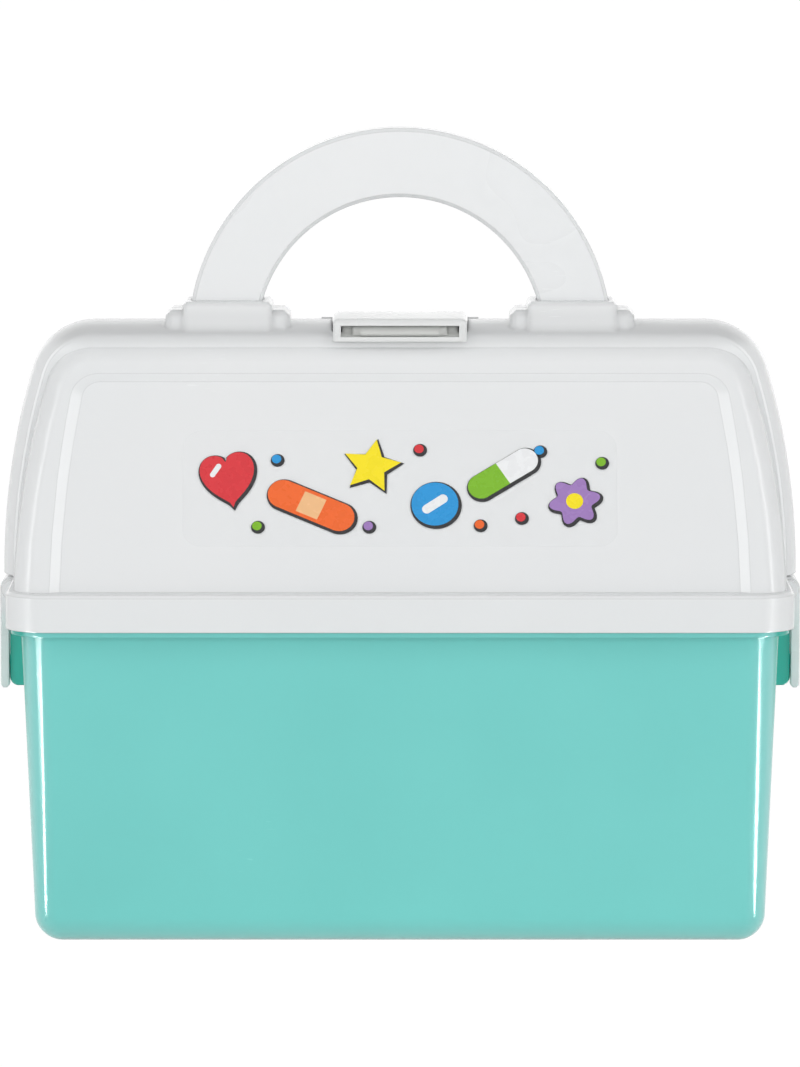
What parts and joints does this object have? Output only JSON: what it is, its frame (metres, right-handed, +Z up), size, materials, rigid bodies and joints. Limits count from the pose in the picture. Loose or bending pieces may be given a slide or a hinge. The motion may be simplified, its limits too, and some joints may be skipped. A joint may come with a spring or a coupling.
{
  "type": "toy doctor case",
  "caption": "Toy doctor's carrying case: a tapered plastic tub, an arched lid of two shells, an arch handle, a strap clasp on top and a hanging clip at each end.",
  "frame": {"origin": "on the surface that the case stands on, under the middle of its base", "axes": "+X along the case to its right end as seen from the front, -Y towards the front, +Z up"},
  "size_m": [0.256, 0.132, 0.2545],
  "materials": {
    "mint_plastic": "moulded, satin gloss, slightly translucent",
    "white_plastic": "moulded, satin gloss",
    "steel_pin": "drawn wire",
    "label_film": "clear film"
  },
  "bodies": {
    "tub": {"tub": "mint_plastic"},
    "lid": {"lid_front_shell": "white_plastic", "lid_rear_shell": "white_plastic", "carry_handle": "white_plastic", "front_label": "label_film", "top_clasp_pin": "steel_pin", "left_clip_pin": "steel_pin", "right_clip_pin": "steel_pin"},
    "left_clip": {"left_clip": "white_plastic"},
    "right_clip": {"right_clip": "white_plastic"},
    "top_clasp": {"top_clasp": "white_plastic"}
  },
  "joints": [
    {"name": "lid_lift", "type": "slide", "parent": "tub", "child": "lid", "axis": [0, 0, 1], "range_m": [0, 0.14]},
    {"name": "left_clip_swing", "type": "hinge", "parent": "lid", "child": "left_clip", "pos_m": [-0.1244, 0, 0.1076], "axis": [0, 1, 0], "range_deg": [0, 95]},
    {"name": "right_clip_swing", "type": "hinge", "parent": "lid", "child": "right_clip", "pos_m": [0.1244, 0, 0.1076], "axis": [0, -1, 0], "range_deg": [0, 95]},
    {"name": "top_clasp_flip", "type": "hinge", "parent": "lid", "child": "top_clasp", "pos_m": [0, 0.0115, 0.1903], "axis": [-1, 0, 0], "range_deg": [0, 100]}
  ]
}
